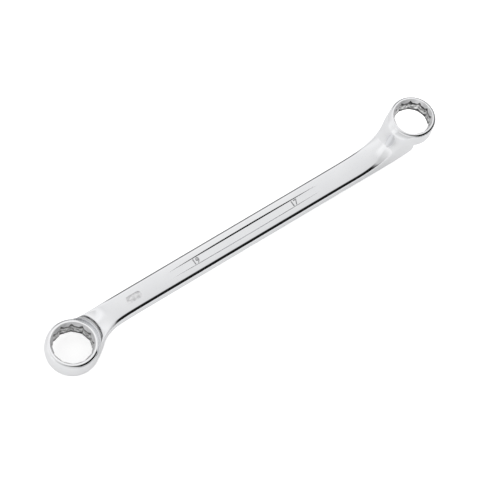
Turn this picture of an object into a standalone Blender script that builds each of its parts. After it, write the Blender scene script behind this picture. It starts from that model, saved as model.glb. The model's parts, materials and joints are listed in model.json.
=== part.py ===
# Double-ended ring spanner with deep offset rings: one forging, lying on the floor at Z = 0.
import math

import bmesh
import bpy
from mathutils import Matrix, Vector

MM = 0.001

# Shank: a flat bar with soft edges and faces that are a little crowned.
CENTRE_DISTANCE = 209.4 * MM
SHANK_WIDTH = 13.4 * MM
SHANK_THICK = 7.4 * MM
CROWN = 0.3 * MM
EDGE_RUN = 2.4 * MM

# Big ring.
BIG_FLATS = 19.0 * MM
BIG_BORE = 20.4 * MM
BIG_WALL = 2.25 * MM
BIG_SWELL = 1.25 * MM
BIG_HEIGHT = 12.1 * MM
BIG_OFFSET = -15.4 * MM
BIG_FILLET_RUN = 9.0 * MM
BIG_FILLET_RISE = 11.5 * MM
BIG_HEEL_INSET = 5.839 * MM  # how much narrower its heel starts than the ring
BIG_HEEL_WIDTHS = (18.0 * MM, 15.4 * MM)

# Small ring.
SMALL_FLATS = 17.0 * MM
SMALL_BORE = 18.3 * MM
SMALL_WALL = 1.95 * MM
SMALL_SWELL = 0.4 * MM
SMALL_TAPER = 0.5 * MM  # how much slimmer the barrel is at its lower end
SMALL_HEIGHT = 11.0 * MM
SMALL_OFFSET = 19.9 * MM
SMALL_FILLET_RUN = 18.0 * MM
SMALL_FILLET_RISE = 15.0 * MM
SMALL_HEEL_INSET = 0.33 * MM
SMALL_HEEL_WIDTHS = (19.0 * MM, 15.4 * MM)

# Shared by both rings.
LEAD_IN = 0.8 * MM
LEAD_ANGLE = math.radians(60)  # between the lead-in cone and the ring's axis
RIM_EDGE = 0.6 * MM
COLLAR_DEPTH = 0.9 * MM
COLLAR_LEAN = 0.45 * MM
RING_STEPS = 24
NECK_STEPS = 8

# Neck from a ring to the shank. The hollow is its inner curve and the heel its outer one.
# Each gap is measured out from the ring's end face, and each drop in from the shank's surface.
HOLLOW_GAP = 3.0 * MM
HOLLOW_FOOT = -2.5 * MM
HOLLOW_WIDTHS = (16.4 * MM, 15.2 * MM, 14.2 * MM)
HOLLOW_TURNS = (math.radians(15), math.radians(40), math.radians(65), math.radians(90))
HEEL_GAPS = (0.6 * MM, 1.2 * MM, 2.2 * MM, 5.0 * MM, 12.0 * MM)
HEEL_FOOT = 3.0 * MM
HEEL_DROPS = (2.4 * MM, 0.2 * MM, 0.0 * MM)
WRAPS = (1.0, 1.0, 1.0, 0.5, 0.0)
SHANK_START = 42.0 * MM

# Sunk panel on each face of the shank, and the small bare plate beside the upper one.
PANEL_WIDTH = 5.2 * MM
PANEL_LENGTH = 96.0 * MM
PANEL_DEPTH = 0.6 * MM
PANEL_SLOPE = math.radians(40)
PANEL_X = 0.5 * MM
PLATE_LENGTH = 8.5 * MM
PLATE_WIDTH = 3.8 * MM
PLATE_DEPTH = 0.3 * MM
PLATE_X = -68.5 * MM

OVERRUN = 2.0 * MM  # how far a cutter stands out of the surface that it cuts
LEAD_LIP = 0.2 * MM  # the same for the lead-in cones, which must not reach the heel


def collection_named(name):
    made = bpy.data.collections.new(name)
    bpy.context.scene.collection.children.link(made)
    return made


def add_mesh(name, bm, where):
    mesh = bpy.data.meshes.new(name)
    bm.to_mesh(mesh)
    bm.free()
    obj = bpy.data.objects.new(name, mesh)
    where.objects.link(obj)
    return obj


def collar_radius(flats, wall):
    return flats / math.sqrt(3) + wall


def ring_head(bm, centre, facing, flats, wall, swell, height, taper=0):
    """Spins one ring as a solid puck and opens its wall towards the shank; returns the opening's edges."""
    step = 2 * math.pi / RING_STEPS
    grow = 3 / (2 + math.cos(step))  # the subdivided circle shrinks by this much
    half = height / 2
    collar = collar_radius(flats, wall)
    low = half - COLLAR_DEPTH
    upper = [
        (collar - 5 * RIM_EDGE, half),
        (collar - 2 * RIM_EDGE, half),  # the rim is flat inside this
        (collar - RIM_EDGE, half),
        (collar, half),
        (collar + COLLAR_LEAN, low),
        (collar + (COLLAR_LEAN + 3 * swell) / 4, low / 2),
    ]
    profile = upper + [(collar + swell, 0)] + [(r, -z) for r, z in reversed(upper)]
    profile = [(r - taper * (0.5 - z / height), z) for r, z in profile]
    verts = [bm.verts.new(centre + Vector((facing * r * grow, 0, z))) for r, z in profile]
    edges = [bm.edges.new(pair) for pair in zip(verts, verts[1:])]
    before = set(bm.faces)
    bmesh.ops.spin(
        bm, geom=verts + edges, cent=centre, axis=(0, 0, 1), angle=2 * math.pi,
        steps=RING_STEPS, use_merge=True,
    )
    walls = [face for face in bm.faces if face not in before]
    rims = [edge for face in walls for edge in face.edges if edge.is_boundary]
    bmesh.ops.holes_fill(bm, edges=rims, sides=RING_STEPS)

    opened = []
    for face in walls:
        out = face.calc_center_median() - centre
        turn = math.atan2(out.y, facing * out.x)
        if abs(turn) < step * NECK_STEPS / 2 and abs(out.z) < low:
            opened.append(face)
    bmesh.ops.delete(bm, geom=opened, context="FACES")
    return [edge for edge in bm.edges if edge.is_boundary]


def row(centre, facing, reach, level, width, wrap, swell):
    """Points across the bar; wrap bends the row round the ring's axis, and swell crowns it."""
    points = []
    outer = width / 2
    inner = outer - EDGE_RUN
    most = NECK_STEPS // 2 - 1
    across = [-outer] + [inner * i / most for i in range(-most, most + 1)] + [outer]
    for y in across:
        bent = reach - wrap * (reach - math.sqrt(reach ** 2 - y ** 2))
        points.append(Vector((centre.x + facing * bent, y, level - swell * (y / outer) ** 2)))
    return points


def closed_loop(bm, first, second):
    """A loop through two rows with three more points down each side; returns its edges."""
    share = EDGE_RUN / (first[-1] - second[-1]).length
    steps = (min(share, 0.4), 0.5, max(1 - share, 0.6))
    right = [first[-1].lerp(second[-1], t) for t in steps]
    left = [second[0].lerp(first[0], t) for t in steps]
    verts = [bm.verts.new(p) for p in first + right + second[::-1] + left]
    return [bm.edges.new((verts[i - 1], verts[i])) for i in range(len(verts))]


def neck(bm, ring, facing, collar, half, run, rise, heel_widths):
    """The loops of one cranked neck, from the ring's wall to the straight shank."""
    up = math.copysign(1, ring.z)
    foot = collar + HOLLOW_GAP
    top = abs(ring.z) - SHANK_THICK / 2
    hollow = [(foot, HOLLOW_FOOT)]
    hollow += [(foot + run * (1 - math.cos(t)), top - rise * (1 - math.sin(t))) for t in HOLLOW_TURNS]
    below = abs(ring.z) + SHANK_THICK / 2
    levels = [half + HEEL_FOOT, 0] + [below - drop for drop in HEEL_DROPS]
    levels[1] = (levels[0] + levels[2]) / 2
    heel = [(collar + gap, level) for gap, level in zip(HEEL_GAPS, levels)]
    straight = (SHANK_WIDTH, SHANK_WIDTH)
    loops = []
    for i, wrap in enumerate(WRAPS):
        reach, level = hollow[i]
        inner = row(ring, facing, reach, ring.z - up * level, (HOLLOW_WIDTHS + straight)[i], wrap, up * CROWN)
        reach, level = heel[i]
        outer = row(ring, facing, reach, ring.z - up * level, (heel_widths + straight)[i], wrap, -up * CROWN)
        loops.append(closed_loop(bm, inner, outer))
    return loops


def shank_loop(bm, x):
    middle = Vector((x, 0, 0))
    top = row(middle, 0, SHANK_WIDTH, SHANK_THICK / 2, SHANK_WIDTH, 0, CROWN)
    under = row(middle, 0, SHANK_WIDTH, -SHANK_THICK / 2, SHANK_WIDTH, 0, -CROWN)
    return closed_loop(bm, top, under)


def forging(big, small):
    """The whole outside as one cage: ring, neck, shank, neck, ring."""
    bm = bmesh.new()
    loops = [ring_head(bm, big, 1, BIG_FLATS, BIG_WALL, BIG_SWELL, BIG_HEIGHT)]
    collar = collar_radius(BIG_FLATS, BIG_WALL)
    heel_widths = (2 * collar - BIG_HEEL_INSET,) + BIG_HEEL_WIDTHS
    loops += neck(bm, big, 1, collar, BIG_HEIGHT / 2, BIG_FILLET_RUN, BIG_FILLET_RISE, heel_widths)
    start = big.x + SHANK_START
    gap = small.x - SHANK_START - start
    for i in range(5):
        loops.append(shank_loop(bm, start + gap * i / 4))
    known = set(bm.edges)
    far = ring_head(bm, small, -1, SMALL_FLATS, SMALL_WALL, SMALL_SWELL, SMALL_HEIGHT, SMALL_TAPER)
    collar = collar_radius(SMALL_FLATS, SMALL_WALL)
    heel_widths = (2 * collar - SMALL_HEEL_INSET,) + SMALL_HEEL_WIDTHS
    cranked = neck(bm, small, -1, collar, SMALL_HEIGHT / 2, SMALL_FILLET_RUN, SMALL_FILLET_RISE, heel_widths)
    loops += reversed(cranked)
    loops.append([edge for edge in far if edge not in known])
    for first, second in zip(loops, loops[1:]):
        bmesh.ops.bridge_loops(bm, edges=first + second)
    bmesh.ops.recalc_face_normals(bm, faces=bm.faces)
    return bm


def cut_socket(ring, flats, bore, height, name):
    """A bore, two hexagons a twelfth of a turn apart, and a cone that leads in at each end."""
    corner = flats / math.sqrt(3)
    bm = bmesh.new()
    bmesh.ops.create_cone(
        bm, cap_ends=True, segments=4 * RING_STEPS, radius1=bore / 2, radius2=bore / 2,
        depth=height + OVERRUN, matrix=Matrix.Translation(ring),
    )
    add_mesh(f"{name}_bore", bm, cutters)
    for i in range(2):
        bm = bmesh.new()
        where = Matrix.Translation(ring) @ Matrix.Rotation(i * math.pi / 6, 4, "Z")
        bmesh.ops.create_cone(
            bm, cap_ends=True, segments=6, radius1=corner, radius2=corner,
            depth=height + 2 * OVERRUN, matrix=where,
        )
        add_mesh(f"{name}_hexagon_{i}", bm, cutters)
    slope = math.tan(LEAD_ANGLE)
    mouth = corner + LEAD_IN
    narrow = bore / 4
    deep = (mouth - narrow) / slope
    for end in (1, -1):
        bm = bmesh.new()
        turn = Matrix.Rotation(0 if end > 0 else math.pi, 4, "X")
        middle = Matrix.Translation((0, 0, (height + LEAD_LIP - deep) / 2))
        bmesh.ops.create_cone(
            bm, cap_ends=True, segments=4 * RING_STEPS, radius1=narrow, radius2=mouth + LEAD_LIP * slope,
            depth=deep + LEAD_LIP, matrix=Matrix.Translation(ring) @ turn @ middle,
        )
        add_mesh(f"{name}_lead_in_{'top' if end > 0 else 'bottom'}", bm, cutters)


def cut_panel(face, name):
    """A shallow trough swept on a very large circle, so that its floor runs out at both ends."""
    reach = PANEL_LENGTH / 2
    radius = (reach ** 2 + PANEL_DEPTH ** 2) / (2 * PANEL_DEPTH)
    swing = 1.05 * math.asin(reach / radius)
    floor = PANEL_WIDTH / 2 - PANEL_DEPTH / math.tan(PANEL_SLOPE)
    top = PANEL_WIDTH / 2 + OVERRUN / math.tan(PANEL_SLOPE)
    level = SHANK_THICK / 2
    trough = [(-floor, -PANEL_DEPTH), (floor, -PANEL_DEPTH), (top, OVERRUN), (-top, OVERRUN)]
    hub = Vector((PANEL_X, 0, face * (level - PANEL_DEPTH + radius)))
    bm = bmesh.new()
    start = Matrix.Translation(hub) @ Matrix.Rotation(-face * swing, 4, "Y") @ Matrix.Translation(-hub)
    verts = [bm.verts.new(start @ Vector((PANEL_X, y, face * (level + z)))) for y, z in trough]
    outline = bm.faces.new(verts)
    swept = [outline] + list(outline.edges) + verts
    bmesh.ops.spin(bm, geom=swept, cent=hub, axis=(0, face, 0), angle=2 * swing, steps=16)
    bmesh.ops.recalc_face_normals(bm, faces=bm.faces)
    add_mesh(name, bm, cutters)


def cut_plate():
    bm = bmesh.new()
    size = Matrix.Diagonal((PLATE_LENGTH, PLATE_WIDTH, PLATE_DEPTH + OVERRUN, 1))
    middle = Vector((PLATE_X, 0, SHANK_THICK / 2 + (OVERRUN - PLATE_DEPTH) / 2))
    bmesh.ops.create_cube(bm, size=1, matrix=Matrix.Translation(middle) @ size)
    upright = [edge for edge in bm.edges if abs(edge.verts[0].co.z - edge.verts[1].co.z) > PLATE_DEPTH]
    bmesh.ops.bevel(bm, geom=upright, offset=PLATE_WIDTH / 3, segments=4, profile=0.5, affect="EDGES")
    add_mesh("plate", bm, cutters)


def chrome():
    material = bpy.data.materials.new("chrome")
    material.use_nodes = True
    shader = material.node_tree.nodes["Principled BSDF"]
    shader.inputs["Base Color"].default_value = (0.80, 0.81, 0.82, 1)
    shader.inputs["Metallic"].default_value = 1.0
    shader.inputs["Roughness"].default_value = 0.08
    return material


def laid_down(obj):
    """The turn and shift that lay the spanner on the floor, on its lowest point at either end."""
    bpy.context.view_layer.update()
    graph = bpy.context.evaluated_depsgraph_get()
    evaluated = obj.evaluated_get(graph)
    points = [vertex.co.copy() for vertex in evaluated.to_mesh().vertices]
    evaluated.to_mesh_clear()
    slope = 0.0
    for _ in range(12):
        left = min((p for p in points if p.x < 0), key=lambda p: p.z - slope * p.x)
        right = min((p for p in points if p.x > 0), key=lambda p: p.z - slope * p.x)
        slope = (right.z - left.z) / (right.x - left.x)
    turn = Matrix.Rotation(math.atan(slope), 4, "Y")
    turned = [turn @ p for p in points]
    xs = [p.x for p in turned]
    shift = Vector((-(min(xs) + max(xs)) / 2, 0, -min(p.z for p in turned)))
    return Matrix.Translation(shift) @ turn


for old in list(bpy.data.objects):
    bpy.data.objects.remove(old)

parts = collection_named("ring_spanner")
cutters = collection_named("cutters")
cutters.hide_render = True

big_ring = Vector((-CENTRE_DISTANCE / 2, 0, BIG_OFFSET))
small_ring = Vector((CENTRE_DISTANCE / 2, 0, SMALL_OFFSET))
body = add_mesh("spanner_body", forging(big_ring, small_ring), parts)
body.data.materials.append(chrome())

cut_socket(big_ring, BIG_FLATS, BIG_BORE, BIG_HEIGHT, "big")
cut_socket(small_ring, SMALL_FLATS, SMALL_BORE, SMALL_HEIGHT, "small")
cut_panel(1, "panel_top")
cut_panel(-1, "panel_under")
cut_plate()

soften = body.modifiers.new("soften", "SUBSURF")
soften.levels = 1
soften.render_levels = 1
for cutter in cutters.objects:
    cutter.hide_render = True
    cutter.display_type = "WIRE"
cut = body.modifiers.new("cut", "BOOLEAN")
cut.operand_type = "COLLECTION"
cut.collection = cutters
cut.solver = "EXACT"

place = laid_down(body)
for obj in [body] + list(cutters.objects):
    obj.matrix_world = place @ obj.matrix_world

body.data.shade_smooth()
body.data.set_sharp_from_angle(angle=math.radians(30))
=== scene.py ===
import json
import math

import bmesh
import bpy
from mathutils import Matrix, Vector

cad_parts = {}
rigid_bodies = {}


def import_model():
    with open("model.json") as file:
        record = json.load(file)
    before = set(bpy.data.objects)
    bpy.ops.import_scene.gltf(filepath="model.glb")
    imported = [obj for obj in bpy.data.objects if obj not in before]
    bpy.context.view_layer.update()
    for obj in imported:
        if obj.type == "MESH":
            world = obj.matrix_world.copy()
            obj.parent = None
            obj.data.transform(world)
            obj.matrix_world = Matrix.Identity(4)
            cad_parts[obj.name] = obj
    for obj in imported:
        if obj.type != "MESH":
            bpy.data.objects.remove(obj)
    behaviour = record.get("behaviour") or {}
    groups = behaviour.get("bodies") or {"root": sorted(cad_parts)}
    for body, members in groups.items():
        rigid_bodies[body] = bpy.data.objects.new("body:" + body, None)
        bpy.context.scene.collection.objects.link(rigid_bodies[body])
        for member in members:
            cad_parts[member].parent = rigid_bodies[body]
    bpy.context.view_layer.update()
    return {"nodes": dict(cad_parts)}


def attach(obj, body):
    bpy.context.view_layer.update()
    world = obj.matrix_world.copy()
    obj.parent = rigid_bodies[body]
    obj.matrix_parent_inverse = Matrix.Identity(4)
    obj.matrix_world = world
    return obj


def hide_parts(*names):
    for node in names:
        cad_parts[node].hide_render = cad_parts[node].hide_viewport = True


for old in list(bpy.data.objects):  # startup scene
    bpy.data.objects.remove(old)
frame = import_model()
mm = 0.001
print("frame loaded:", ", ".join(sorted(frame["nodes"])))


# polished forging, made like the solid with a gentler big heel, deeper lead-ins and finer faces
forging = {
    "centreDistance": 209.4 * mm,
    "shankWidth": 13.4 * mm,
    "shankThick": 7.4 * mm,
    "crown": 0.3 * mm,
    "edgeRun": 2.4 * mm,
    "shankStart": 42.0 * mm,
    "bigRing": {"flats": 19.0 * mm, "bore": 20.4 * mm, "wall": 2.25 * mm,
                "swell": 1.25 * mm, "taper": 0.0,
                "height": 12.1 * mm, "offset": -15.4 * mm, "filletRun": 9.0 * mm, "filletRise": 11.5 * mm,
                "heelWidths": (20.8 * mm, 18.8 * mm, 16.6 * mm, 14.4 * mm),
                "heelGaps": (0.3 * mm, 0.9 * mm, 3.2 * mm, 6.5 * mm, 12.0 * mm),
                "heelLevels": (7.8 * mm, 11.0 * mm, 14.1 * mm, 17.5 * mm, 19.05 * mm)},
    "smallRing": {"flats": 17.0 * mm, "bore": 18.3 * mm, "wall": 1.95 * mm,
                  "swell": 0.4 * mm, "taper": 0.5 * mm,
                  "height": 11.0 * mm, "offset": 19.9 * mm, "filletRun": 18.0 * mm, "filletRise": 15.0 * mm,
                  "heelWidths": (23.2 * mm, 19.0 * mm, 15.4 * mm, 13.4 * mm),
                  "heelGaps": (0.6 * mm, 1.2 * mm, 2.2 * mm, 5.0 * mm, 12.0 * mm),
                  "heelLevels": (8.5 * mm, 14.85 * mm, 21.2 * mm, 23.4 * mm, 23.6 * mm)},
    "leadIn": 0.55 * mm,
    "leadAngle": 32,  # degrees between the lead-in cone and the ring's axis
    "leadLip": 0.2 * mm,
    "rimEdge": 0.6 * mm,
    "rimRows": (5, 2),  # cage rows on the rim, counted in rim edges from the collar
    "collarDepth": 0.9 * mm,
    "collarLean": 0.45 * mm,
    "collarRound": 0.5 * mm,
    "collarBulge": 0.125 * mm,
    "collarStep": 0.12 * mm,  # a small step under the collar
    "ringSteps": 24,
    "neckSteps": 8,
    "shankRows": 5,
    "cutterSides": 8,  # sides of a round cutter for each ring step
    "edgeShare": 0.4,  # most of a side that its edge row may take
    "hollowGap": 3.0 * mm,
    "hollowFoot": -2.5 * mm,
    "hollowWidths": (16.4 * mm, 15.2 * mm, 14.2 * mm),
    "hollowTurns": (15, 40, 65, 90),
    "wraps": (1.0, 1.0, 1.0, 0.5, 0.0),
    "fineness": 3,  # subdivision levels
    "weldGap": 0.002 * mm,  # vertices nearer than this after the cuts become one
    "sharpAngle": 28,  # degrees from which an edge stays sharp
    "lieTilt": 5.80455,  # degrees that the shank slopes as it lies
    "lieShift": (0.746 * mm, 0.0, 12.039 * mm),
}


def addMesh(name, bm):
    mesh = bpy.data.meshes.new(name)
    bm.to_mesh(mesh)
    bm.free()
    made = bpy.data.objects.new(name, mesh)
    bpy.context.scene.collection.objects.link(made)
    return made


def ringCorner(ring):
    return ring["flats"] / math.sqrt(3)


def collarRadius(ring):
    return ringCorner(ring) + ring["wall"]


def ringHead(bm, ring, centre, facing):
    f = forging
    step = 2 * math.pi / f["ringSteps"]
    grow = 3 / (2 + math.cos(step))  # makes up for the circle that shrinks when subdivided
    half = ring["height"] / 2
    collar = collarRadius(ring)
    low = half - f["collarDepth"]
    upper = [(collar - rows * f["rimEdge"], half) for rows in f["rimRows"]]
    upper += [
        (collar - f["collarRound"], half),
        (collar + f["collarBulge"], half - f["collarRound"]),
        (collar + f["collarBulge"], low + f["collarStep"]),
        (collar + f["collarLean"], low),
        (collar + (f["collarLean"] + 3 * ring["swell"]) / 4, low / 2),  # most of the way to the swell
    ]
    profile = upper + [(collar + ring["swell"], 0)] + [(r, -z) for r, z in reversed(upper)]
    profile = [(r - ring["taper"] * (0.5 - z / ring["height"]), z) for r, z in profile]
    verts = [bm.verts.new(centre + Vector((facing * r * grow, 0, z))) for r, z in profile]
    edges = [bm.edges.new(pair) for pair in zip(verts, verts[1:])]
    before = set(bm.faces)
    bmesh.ops.spin(bm, geom=verts + edges, cent=centre, axis=(0, 0, 1), angle=2 * math.pi,
                   steps=f["ringSteps"], use_merge=True)
    walls = [face for face in bm.faces if face not in before]
    rims = [edge for face in walls for edge in face.edges if edge.is_boundary]
    bmesh.ops.holes_fill(bm, edges=rims, sides=f["ringSteps"])
    opened = []  # wall faces towards the shank
    for face in walls:
        out = face.calc_center_median() - centre
        turn = math.atan2(out.y, facing * out.x)
        if abs(turn) < step * f["neckSteps"] / 2 and abs(out.z) < low:
            opened.append(face)
    bmesh.ops.delete(bm, geom=opened, context="FACES")
    return [edge for edge in bm.edges if edge.is_boundary]


def rowAcross(centre, facing, reach, level, width, wrap, swell):
    outer = width / 2
    inner = outer - forging["edgeRun"]
    most = forging["neckSteps"] // 2 - 1
    across = [-outer] + [inner * i / most for i in range(-most, most + 1)] + [outer]
    points = []
    for y in across:
        bent = reach - wrap * (reach - math.sqrt(reach ** 2 - y ** 2))  # bends round the ring's axis
        points.append(Vector((centre.x + facing * bent, y, level - swell * (y / outer) ** 2)))
    return points


def closedLoop(bm, first, second):
    share = forging["edgeRun"] / (first[-1] - second[-1]).length
    share = min(share, forging["edgeShare"])
    steps = (share, 0.5, 1 - share)
    right = [first[-1].lerp(second[-1], t) for t in steps]
    left = [second[0].lerp(first[0], t) for t in steps]
    verts = [bm.verts.new(p) for p in first + right + second[::-1] + left]
    return [bm.edges.new((verts[i - 1], verts[i])) for i in range(len(verts))]


def neckLoops(bm, ring, centre, facing):
    f = forging
    up = math.copysign(1, centre.z)
    collar = collarRadius(ring)
    foot = collar + f["hollowGap"]
    top = abs(centre.z) - f["shankThick"] / 2
    hollow = [(foot, f["hollowFoot"])]
    for degrees in f["hollowTurns"]:
        t = math.radians(degrees)
        hollow.append((foot + ring["filletRun"] * (1 - math.cos(t)),
                       top - ring["filletRise"] * (1 - math.sin(t))))
    heel = [(collar + gap, level) for gap, level in zip(ring["heelGaps"], ring["heelLevels"])]
    straight = (f["shankWidth"], f["shankWidth"])
    loops = []
    for i, wrap in enumerate(f["wraps"]):
        reach, level = hollow[i]
        inner = rowAcross(centre, facing, reach, centre.z - up * level,
                          (f["hollowWidths"] + straight)[i], wrap, up * f["crown"])
        reach, level = heel[i]
        outer = rowAcross(centre, facing, reach, centre.z - up * level,
                          (ring["heelWidths"] + straight)[i], wrap, -up * f["crown"])
        loops.append(closedLoop(bm, inner, outer))
    return loops


def shankLoop(bm, x):
    f = forging
    middle = Vector((x, 0, 0))
    width, level, crown = f["shankWidth"], f["shankThick"] / 2, f["crown"]
    top = rowAcross(middle, 0, width, level, width, 0, crown)
    under = rowAcross(middle, 0, width, -level, width, 0, -crown)
    return closedLoop(bm, top, under)


def spannerCage(big, small):
    f = forging
    bm = bmesh.new()
    loops = [ringHead(bm, f["bigRing"], big, 1)]
    loops += neckLoops(bm, f["bigRing"], big, 1)
    start = big.x + f["shankStart"]
    gap = small.x - f["shankStart"] - start
    rows = f["shankRows"]
    for i in range(rows):
        loops.append(shankLoop(bm, start + gap * i / (rows - 1)))
    known = set(bm.edges)
    far = ringHead(bm, f["smallRing"], small, -1)
    loops += reversed(neckLoops(bm, f["smallRing"], small, -1))
    loops.append([edge for edge in far if edge not in known])
    for first, second in zip(loops, loops[1:]):
        bmesh.ops.bridge_loops(bm, edges=first + second)
    bmesh.ops.recalc_face_normals(bm, faces=bm.faces)
    return bm


overrun = 2.0 * mm  # how far a cutter stands out of the surface that it cuts


def socketCutters(ring, centre):
    corner = ringCorner(ring)
    height = ring["height"]
    rounds = forging["cutterSides"] * forging["ringSteps"]
    bore = ring["bore"] / 2
    bm = bmesh.new()
    bmesh.ops.create_cone(bm, cap_ends=True, segments=rounds, radius1=bore, radius2=bore,
                          depth=height + overrun, matrix=Matrix.Translation(centre))
    made = [addMesh("boreCutter", bm)]
    for i in range(2):  # hexagons a twelfth of a turn apart
        bm = bmesh.new()
        where = Matrix.Translation(centre) @ Matrix.Rotation(i * math.pi / 6, 4, "Z")
        bmesh.ops.create_cone(bm, cap_ends=True, segments=6, radius1=corner, radius2=corner,
                              depth=height + 2 * overrun, matrix=where)
        made.append(addMesh("hexagonCutter", bm))
    slope = math.tan(math.radians(forging["leadAngle"]))
    lip = forging["leadLip"]
    mouth = corner + forging["leadIn"]
    narrow = bore / 2  # the cone ends well inside the bore
    deep = (mouth - narrow) / slope
    for end in (1, -1):  # lead-in cones
        bm = bmesh.new()
        turn = Matrix.Rotation(0 if end > 0 else math.pi, 4, "X")
        middle = Matrix.Translation((0, 0, (height + lip - deep) / 2))
        where = Matrix.Translation(centre) @ turn @ middle
        bmesh.ops.create_cone(bm, cap_ends=True, segments=rounds, radius1=narrow,
                              radius2=mouth + lip * slope, depth=deep + lip, matrix=where)
        made.append(addMesh("leadInCutter", bm))
    return made


sunkPanel = {
    "width": 5.2 * mm,
    "length": 96.0 * mm,
    "depth": 0.6 * mm,
    "slope": 40,  # degrees of its side walls
    "x": 0.5 * mm,
    "sweep": 1.05,  # how much further the cutter swings than the panel is long
    "sweepSteps": 48,
}


def panelCutter(face):
    p = sunkPanel
    reach = p["length"] / 2
    radius = (reach ** 2 + p["depth"] ** 2) / (2 * p["depth"])  # its floor is an arc, out at both ends
    swing = p["sweep"] * math.asin(reach / radius)
    slope = math.tan(math.radians(p["slope"]))
    floor = p["width"] / 2 - p["depth"] / slope
    top = p["width"] / 2 + overrun / slope
    level = forging["shankThick"] / 2
    trough = [(-floor, -p["depth"]), (floor, -p["depth"]), (top, overrun), (-top, overrun)]
    hub = Vector((p["x"], 0, face * (level - p["depth"] + radius)))
    start = Matrix.Translation(hub) @ Matrix.Rotation(-face * swing, 4, "Y") @ Matrix.Translation(-hub)
    bm = bmesh.new()
    verts = [bm.verts.new(start @ Vector((p["x"], y, face * (level + z)))) for y, z in trough]
    outline = bm.faces.new(verts)
    swept = [outline] + list(outline.edges) + verts
    bmesh.ops.spin(bm, geom=swept, cent=hub, axis=(0, face, 0), angle=2 * swing,
                   steps=p["sweepSteps"])
    bmesh.ops.recalc_face_normals(bm, faces=bm.faces)
    return addMesh("panelCutter", bm)


barePlate = {
    "length": 8.5 * mm,
    "width": 3.8 * mm,
    "depth": 0.3 * mm,
    "x": -68.5 * mm,
    "cornerSteps": 6,
}


def plateCutter():
    p = barePlate
    bm = bmesh.new()
    size = Matrix.Diagonal((p["length"], p["width"], p["depth"] + overrun, 1))
    middle = Vector((p["x"], 0, forging["shankThick"] / 2 + (overrun - p["depth"]) / 2))
    bmesh.ops.create_cube(bm, size=1, matrix=Matrix.Translation(middle) @ size)
    upright = [edge for edge in bm.edges if abs(edge.verts[0].co.z - edge.verts[1].co.z) > p["depth"]]
    bmesh.ops.bevel(bm, geom=upright, offset=p["width"] / 3, segments=p["cornerSteps"], profile=0.5,
                    affect="EDGES")
    return addMesh("plateCutter", bm)


def evaluatedMesh(obj, name):
    bpy.context.view_layer.update()
    graph = bpy.context.evaluated_depsgraph_get()
    mesh = bpy.data.meshes.new_from_object(obj.evaluated_get(graph))
    mesh.name = name
    return mesh


def weld(mesh):
    bm = bmesh.new()
    bm.from_mesh(mesh)
    bmesh.ops.remove_doubles(bm, verts=bm.verts, dist=forging["weldGap"])
    bmesh.ops.dissolve_degenerate(bm, edges=bm.edges, dist=forging["weldGap"])
    bm.to_mesh(mesh)
    bm.free()


bigCentre = Vector((-forging["centreDistance"] / 2, 0, forging["bigRing"]["offset"]))
smallCentre = Vector((forging["centreDistance"] / 2, 0, forging["smallRing"]["offset"]))
lieTurn = Matrix.Rotation(math.radians(forging["lieTilt"]), 4, "Y")
lie = Matrix.Translation(forging["lieShift"]) @ lieTurn


def buildBody():
    cage = addMesh("cage", spannerCage(bigCentre, smallCentre))
    cutters = socketCutters(forging["bigRing"], bigCentre)
    cutters += socketCutters(forging["smallRing"], smallCentre)
    cutters += [panelCutter(1), panelCutter(-1), plateCutter()]
    tools = bpy.data.collections.new("cutTools")
    bpy.context.scene.collection.children.link(tools)
    for cutter in cutters:
        tools.objects.link(cutter)
    soften = cage.modifiers.new("soften", "SUBSURF")
    soften.levels = soften.render_levels = forging["fineness"]
    cut = cage.modifiers.new("cut", "BOOLEAN")
    cut.operand_type = "COLLECTION"
    cut.collection = tools
    cut.solver = "EXACT"
    mesh = evaluatedMesh(cage, "spannerBody")
    weld(mesh)
    for helper in cutters + [cage]:
        bpy.data.objects.remove(helper)
    bpy.data.collections.remove(tools)
    mesh.shade_smooth()
    mesh.set_sharp_from_angle(angle=math.radians(forging["sharpAngle"]))
    body = bpy.data.objects.new("spannerBody", mesh)
    bpy.context.scene.collection.objects.link(body)
    return body


body = buildBody()
print("forging:", len(body.data.polygons), "faces")


def mathNode(tree, kind, *values):
    made = tree.nodes.new("ShaderNodeMath")
    made.operation = kind
    for slot, value in zip(made.inputs, values):
        if isinstance(value, float):
            slot.default_value = value
        else:
            tree.links.new(value, slot)
    return made.outputs[0]


def rampNode(tree, source, span, result, kind="SMOOTHSTEP"):
    made = tree.nodes.new("ShaderNodeMapRange")
    made.interpolation_type = kind
    for name, value in zip(("From Min", "From Max", "To Min", "To Max"), tuple(span) + tuple(result)):
        made.inputs[name].default_value = value
    tree.links.new(source, made.inputs["Value"])
    return made.outputs["Result"]


def noiseNode(tree, vector, scale, detail):
    made = tree.nodes.new("ShaderNodeTexNoise")
    made.inputs["Detail"].default_value = detail
    if isinstance(scale, float):
        made.inputs["Scale"].default_value = scale
    else:
        tree.links.new(scale, made.inputs["Scale"])
    tree.links.new(vector, made.inputs["Vector"])
    return made.outputs["Fac"]


# polishing lines, tiny waves and handling smears, shared by the plated finishes
polish = {
    "stretch": (60, 2600, 2600),  # lines run along the shank
    "lineDetail": 4.0,
    "smearDetail": 3.0,
    "smearSpan": (0.35, 0.65),
    "waveScale": 220.0,
    "waveDetail": 1.0,
    "bumpDistance": 0.1 * mm,
}


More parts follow.
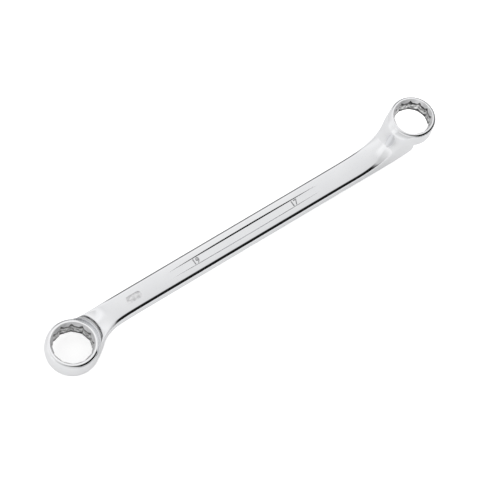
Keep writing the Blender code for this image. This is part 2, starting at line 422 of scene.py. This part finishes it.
def polishGroup():
    group = bpy.data.node_groups.new("polishMarks", "ShaderNodeTree")
    for name, kind, value in (("Vector", "NodeSocketVector", None),
                              ("Base Rough", "NodeSocketFloat", 0.05),
                              ("Rough Spread", "NodeSocketFloat", 0.03),
                              ("Line Height", "NodeSocketFloat", 0.2),
                              ("Patch Scale", "NodeSocketFloat", 45.0),
                              ("Light", "NodeSocketColor", (0.9, 0.9, 0.9, 1)),
                              ("Dark", "NodeSocketColor", (0.8, 0.8, 0.8, 1))):
        socket = group.interface.new_socket(name=name, in_out="INPUT", socket_type=kind)
        if value is not None:
            socket.default_value = value
    for name, kind in (("Tone", "NodeSocketColor"), ("Rough", "NodeSocketFloat"),
                       ("Height", "NodeSocketFloat")):
        group.interface.new_socket(name=name, in_out="OUTPUT", socket_type=kind)
    nodes, links = group.nodes, group.links
    entry = nodes.new("NodeGroupInput").outputs
    leave = nodes.new("NodeGroupOutput").inputs
    stretch = nodes.new("ShaderNodeVectorMath")
    stretch.operation = "MULTIPLY"
    stretch.inputs[1].default_value = polish["stretch"]
    links.new(entry["Vector"], stretch.inputs[0])
    lines = noiseNode(group, stretch.outputs[0], 1.0, polish["lineDetail"])
    smear = noiseNode(group, entry["Vector"], entry["Patch Scale"], polish["smearDetail"])
    wave = noiseNode(group, entry["Vector"], polish["waveScale"], polish["waveDetail"])
    both = mathNode(group, "MULTIPLY", lines, smear)
    rough = mathNode(group, "MULTIPLY_ADD", both, entry["Rough Spread"], entry["Base Rough"])
    links.new(rough, leave["Rough"])
    tone = nodes.new("ShaderNodeMix")
    tone.data_type = "RGBA"
    links.new(rampNode(group, smear, polish["smearSpan"], (0, 1), "LINEAR"), tone.inputs["Factor"])
    links.new(entry["Light"], tone.inputs["A"])
    links.new(entry["Dark"], tone.inputs["B"])
    links.new(tone.outputs["Result"], leave["Tone"])
    links.new(mathNode(group, "MULTIPLY_ADD", lines, entry["Line Height"], wave), leave["Height"])
    return group


polishMarks = polishGroup()

# painted shade under the lead-ins of the sockets: the socket faces are darkened in a band just below each
# ring's face, broken up into random patches
paintedShade = {
    "fade": (4.2 * mm, 3.0 * mm),  # depth below the ring's face
    "most": 0.97,
    "colour": (0.02, 0.02, 0.022, 1),
    "patch": 420.0,
    "patchDetail": 2.0,
    "patchSpan": (0.30, 0.52),
    "least": 0.55,  # share of the shade that the thinnest patches keep
}


# mask of the painted shade: full just under each ring's lead-in, fading out deeper in the socket, in random
# patches
def paintedShadeGroup():
    group = bpy.data.node_groups.new("socketPaintedShade", "ShaderNodeTree")
    group.interface.new_socket(name="Vector", in_out="INPUT", socket_type="NodeSocketVector")
    group.interface.new_socket(name="Shade", in_out="OUTPUT", socket_type="NodeSocketFloat")
    nodes, links = group.nodes, group.links
    entry = nodes.new("NodeGroupInput").outputs
    leave = nodes.new("NodeGroupOutput").inputs
    lift = (lieTurn.inverted() @ Vector(forging["lieShift"])).z
    low, high = bigCentre.z + lift, smallCentre.z + lift
    halves = [forging[ring]["height"] / 2 for ring in ("bigRing", "smallRing")]
    split = nodes.new("ShaderNodeSeparateXYZ")
    links.new(entry["Vector"], split.inputs[0])
    side = mathNode(group, "GREATER_THAN", split.outputs["X"], 0.0)  # 1 at the small ring
    middle = mathNode(group, "MULTIPLY_ADD", side, high - low, low)
    half = mathNode(group, "MULTIPLY_ADD", side, halves[1] - halves[0], halves[0])
    away = mathNode(group, "ABSOLUTE", mathNode(group, "SUBTRACT", split.outputs["Z"], middle))
    below = mathNode(group, "SUBTRACT", half, away)
    fade = rampNode(group, below, paintedShade["fade"], (0, 1))
    patch = noiseNode(group, entry["Vector"], paintedShade["patch"], paintedShade["patchDetail"])
    firm = rampNode(group, patch, paintedShade["patchSpan"], (paintedShade["least"], paintedShade["most"]), "LINEAR")
    links.new(mathNode(group, "MULTIPLY", fade, firm), leave["Shade"])
    return group


socketPaintedShade = paintedShadeGroup()

finishes = {
    "chromePlate": {"light": (0.81, 0.815, 0.825, 1), "dark": (0.78, 0.785, 0.80, 1),
                    "metal": 1.0, "rough": 0.045, "spread": 0.05, "lines": 0.15,
                    "bump": 0.004, "patch": 45.0, "paintedShade": False},
    "groundRim": {"light": (0.94, 0.94, 0.95, 1), "dark": (0.90, 0.905, 0.915, 1),
                  "metal": 1.0, "rough": 0.08, "spread": 0.10, "lines": 0.4,
                  "bump": 0.012, "patch": 60.0, "paintedShade": False},
    "turnedLead": {"light": (0.90, 0.90, 0.91, 1), "dark": (0.70, 0.70, 0.71, 1),
                   "metal": 0.6, "rough": 0.40, "spread": 0.25, "lines": 0.6,
                   "bump": 0.05, "patch": 300.0, "paintedShade": False},
    "broachedSocket": {"light": (0.98, 0.98, 0.98, 1), "dark": (0.12, 0.12, 0.12, 1),
                       "metal": 1.0, "rough": 0.10, "spread": 0.22, "lines": 0.8,
                       "bump": 0.8, "patch": 640.0, "paintedShade": True},
    "raisedFigure": {"light": (0.42, 0.42, 0.43, 1), "dark": (0.30, 0.30, 0.31, 1),
                     "metal": 1.0, "rough": 0.22, "spread": 0.15, "lines": 0.3,
                     "bump": 0.05, "patch": 500.0, "paintedShade": False},
    "satinPlate": {"light": (0.84, 0.84, 0.85, 1), "dark": (0.60, 0.60, 0.61, 1),
                   "metal": 1.0, "rough": 0.26, "spread": 0.20, "lines": 0.3,
                   "bump": 0.15, "patch": 700.0, "paintedShade": False},
}


def platedMaterial(name):
    look = finishes[name]
    material = bpy.data.materials.new(name)
    material.use_nodes = True
    nodes, links = material.node_tree.nodes, material.node_tree.links
    shader = nodes["Principled BSDF"]
    shader.inputs["Metallic"].default_value = look["metal"]
    where = nodes.new("ShaderNodeTexCoord")
    level = nodes.new("ShaderNodeMapping")  # turns the pattern to lie along the shank
    level.inputs["Rotation"].default_value = (0, -math.radians(forging["lieTilt"]), 0)
    marks = nodes.new("ShaderNodeGroup")
    marks.node_tree = polishMarks
    for name, key in (("Base Rough", "rough"), ("Rough Spread", "spread"), ("Line Height", "lines"),
                      ("Patch Scale", "patch"), ("Light", "light"), ("Dark", "dark")):
        marks.inputs[name].default_value = look[key]
    bump = nodes.new("ShaderNodeBump")
    bump.inputs["Strength"].default_value = look["bump"]
    bump.inputs["Distance"].default_value = polish["bumpDistance"]
    links.new(where.outputs["Object"], level.inputs["Vector"])
    links.new(level.outputs["Vector"], marks.inputs["Vector"])
    tone = marks.outputs["Tone"]
    # the socket tone is mixed towards the painted shade colour under the lead-ins
    if look["paintedShade"]:
        shade = nodes.new("ShaderNodeGroup")
        shade.node_tree = socketPaintedShade
        shadedTone = nodes.new("ShaderNodeMix")
        shadedTone.data_type = "RGBA"
        shadedTone.inputs["B"].default_value = paintedShade["colour"]
        links.new(level.outputs["Vector"], shade.inputs["Vector"])
        links.new(shade.outputs["Shade"], shadedTone.inputs["Factor"])
        links.new(tone, shadedTone.inputs["A"])
        tone = shadedTone.outputs["Result"]
    links.new(tone, shader.inputs["Base Color"])
    links.new(marks.outputs["Rough"], shader.inputs["Roughness"])
    links.new(marks.outputs["Height"], bump.inputs["Height"])
    links.new(bump.outputs["Normal"], shader.inputs["Normal"])
    return material


for name in finishes:
    body.data.materials.append(platedMaterial(name))


# how far a face leans, as the upright part of its normal, and where it lies
faceRules = {
    "wall": 0.2,
    "lead": 0.99,
    "flat": 0.999,
    "rimLevel": 0.98,  # share of the ring's half height
    "plateReach": 0.02 * mm,
}


def faceFinish(polygon):
    atBig = polygon.center.x < 0
    centre, ring = (bigCentre, forging["bigRing"]) if atBig else (smallCentre, forging["smallRing"])
    out = polygon.center - centre
    radius = math.hypot(out.x, out.y)
    high = abs(out.z) / (ring["height"] / 2)
    upright = abs(polygon.normal.z)
    if radius < ringCorner(ring) + forging["leadIn"] and high <= 1:
        if upright >= faceRules["lead"]:
            return "groundRim"
        return "turnedLead" if upright > faceRules["wall"] else "broachedSocket"
    if upright <= faceRules["flat"]:
        return "chromePlate"
    if radius < collarRadius(ring) - forging["rimEdge"] and high > faceRules["rimLevel"]:
        return "groundRim"
    plateFloor = forging["shankThick"] / 2 - barePlate["depth"]
    along = abs(polygon.center.x - barePlate["x"])
    if along < barePlate["length"] / 2 and abs(polygon.center.z - plateFloor) < faceRules["plateReach"]:
        return "satinPlate"
    return "chromePlate"


def sortFaces(mesh):
    names = list(finishes)
    for polygon in mesh.polygons:
        polygon.material_index = names.index(faceFinish(polygon))


sortFaces(body.data)
body.data.transform(lie)
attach(body, "root")
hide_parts("spanner_body")
print("finishes:", ", ".join(finishes))


# raised size figures on the floor of the sunk panel
figures = {
    "text": {"19": -30.5 * mm, "17": 31.5 * mm},
    "tall": 3.1 * mm,
    "raise": 0.28 * mm,
    "y": -0.2 * mm,
    "fontScale": 1.38,  # font size for a figure one unit tall
    "bevel": 0.05 * mm,
    "bevelSteps": 2,
    "thin": -0.02 * mm,
}


def panelFloor(x):
    p = sunkPanel
    reach = p["length"] / 2
    return forging["shankThick"] / 2 - p["depth"] * (1 - ((x - p["x"]) / reach) ** 2)


def sizeFigure(text, x):
    curve = bpy.data.curves.new("figure", "FONT")
    curve.body = text
    curve.size = figures["tall"] * figures["fontScale"]
    curve.align_x = "CENTER"
    curve.align_y = "CENTER"
    curve.extrude = figures["raise"]
    curve.bevel_depth = figures["bevel"]
    curve.bevel_resolution = figures["bevelSteps"]
    curve.offset = figures["thin"]
    carrier = bpy.data.objects.new("figure", curve)
    bpy.context.scene.collection.objects.link(carrier)
    mesh = evaluatedMesh(carrier, "sizeFigure" + text)
    bpy.data.objects.remove(carrier)
    mesh.materials.clear()
    mesh.materials.append(bpy.data.materials["raisedFigure"])
    mesh.transform(lie @ Matrix.Translation((x, figures["y"], panelFloor(x))))
    made = bpy.data.objects.new("sizeFigure" + text, mesh)
    bpy.context.scene.collection.objects.link(made)
    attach(made, "root")


for text, x in figures["text"].items():
    sizeFigure(text, x)
print("size figures set in the panel")


# white table, large enough to fill every view
table = {
    "half": 6.0,
    "colour": (0.85, 0.85, 0.85, 1),
    "glow": 0.55,  # what the camera sees besides the lit paper
    "mirrorGlow": 0.12,  # what the chrome sees besides it
}


def whiteTable():
    bm = bmesh.new()
    bmesh.ops.create_grid(bm, x_segments=1, y_segments=1, size=table["half"])
    floor = addMesh("whiteTable", bm)
    material = bpy.data.materials.new("whitePaper")
    material.use_nodes = True
    nodes, links = material.node_tree.nodes, material.node_tree.links
    shader = nodes["Principled BSDF"]
    shader.inputs["Base Color"].default_value = table["colour"]
    shader.inputs["Roughness"].default_value = 1.0
    shader.inputs["Specular IOR Level"].default_value = 0.0
    tree = material.node_tree
    path = nodes.new("ShaderNodeLightPath").outputs
    direct = mathNode(tree, "MAXIMUM", path["Is Camera Ray"], path["Is Transmission Ray"])
    mirrored = mathNode(tree, "MULTIPLY", path["Is Glossy Ray"], table["mirrorGlow"])
    glow = mathNode(tree, "MULTIPLY_ADD", direct, table["glow"], mirrored)
    shader.inputs["Emission Color"].default_value = (1, 1, 1, 1)
    links.new(glow, shader.inputs["Emission Strength"])
    floor.data.materials.append(material)


whiteTable()
print("table laid")


# studio: a wide light sheet leans over from behind, a dark screen stands in front
studio = {
    "screenEdge": (-0.03, 0.10),
    "screenLeft": (-0.45, 0.05),  # the screen thins out to the left
    "screenThin": 0.22,
    "screenFoot": (0.00, 0.60),
    "sheetTone": (0.86, 1.10),
    "sheetReach": (0.10, 0.62),
    "sheetFoot": (0.97, 0.80),  # as bright as the paper where they meet
    "footSpan": (0.0, 0.5),
    "sheetLeft": (-0.85, -0.45),
    "leftGain": 0.22,  # the sheet is brighter towards the left, short of its far half
    "leftReach": (0.20, 0.36),
    "bandBack": (0.55, 0.80),  # a dim band stands low behind the table and to its right
    "bandRight": (0.55, 0.80),
    "bandLeft": (-0.10, 0.30),
    "bandLeast": 0.2,  # what is left of it towards the left
    "bandHigh": (0.50, 0.90),
    "bandDepth": 0.90,
    "gloom": 0.012,
}


def lightStudio():
    world = bpy.data.worlds.new("studio")
    bpy.context.scene.world = world
    world.use_nodes = True
    tree = world.node_tree
    nodes, links = tree.nodes, tree.links
    background = nodes["Background"]
    heading = nodes.new("ShaderNodeTexCoord")
    split = nodes.new("ShaderNodeSeparateXYZ")
    links.new(heading.outputs["Generated"], split.inputs[0])
    x, y, z = split.outputs
    p = studio
    thin = rampNode(tree, z, p["screenFoot"], (0, p["screenThin"]))
    thinned = mathNode(tree, "MAXIMUM", rampNode(tree, x, p["screenLeft"], (0, 1)), thin)
    screen = mathNode(tree, "MULTIPLY", rampNode(tree, y, p["screenEdge"], (1, 0)), thinned)
    behind = rampNode(tree, y, p["bandBack"], (0, p["bandDepth"]))
    beside = rampNode(tree, x, p["bandRight"], (0, p["bandDepth"]))
    kept = mathNode(tree, "MULTIPLY", rampNode(tree, x, p["bandLeft"], (p["bandLeast"], 1)),
                    rampNode(tree, z, p["bandHigh"], (1, 0)))
    band = mathNode(tree, "MULTIPLY", mathNode(tree, "MAXIMUM", behind, beside), kept)
    clear = mathNode(tree, "MULTIPLY", mathNode(tree, "SUBTRACT", 1.0, screen),
                     mathNode(tree, "SUBTRACT", 1.0, band))
    gain = mathNode(tree, "MULTIPLY", rampNode(tree, x, p["sheetLeft"], (p["leftGain"], 0)),
                    rampNode(tree, y, p["leftReach"], (1, 0)))
    sheet = mathNode(tree, "ADD", rampNode(tree, y, p["sheetReach"], p["sheetTone"], "LINEAR"), gain)
    tone = mathNode(tree, "MAXIMUM", sheet, rampNode(tree, z, p["footSpan"], p["sheetFoot"]))
    level = mathNode(tree, "ADD", mathNode(tree, "MULTIPLY", clear, tone), p["gloom"])
    mirrored = nodes.new("ShaderNodeLightPath").outputs["Is Glossy Ray"]
    even = mathNode(tree, "SUBTRACT", 1.0, mirrored)  # the chrome shows the sheet, the paper is lit evenly
    shown = mathNode(tree, "ADD", mathNode(tree, "MULTIPLY", level, mirrored), even)
    background.inputs["Color"].default_value = (1, 1, 1, 1)
    links.new(shown, background.inputs["Strength"])


lightStudio()
print("studio lit")


view = {
    "place": (-0.268756, -0.348839, 1.083813),
    "turn": (22.19420, -1.04851, -34.86950),
    "lens": 168.93,
    "sensor": 36,
    "nearest": 0.01,
}


def setCamera():
    lens = bpy.data.cameras.new("camera")
    lens.sensor_width = view["sensor"]
    lens.lens = view["lens"]
    lens.clip_start = view["nearest"]
    camera = bpy.data.objects.new("camera", lens)
    bpy.context.scene.collection.objects.link(camera)
    camera.location = view["place"]
    camera.rotation_euler = [math.radians(angle) for angle in view["turn"]]
    bpy.context.scene.camera = camera


setCamera()
bpy.context.scene.view_settings.view_transform = "Standard"
bpy.context.view_layer.update()
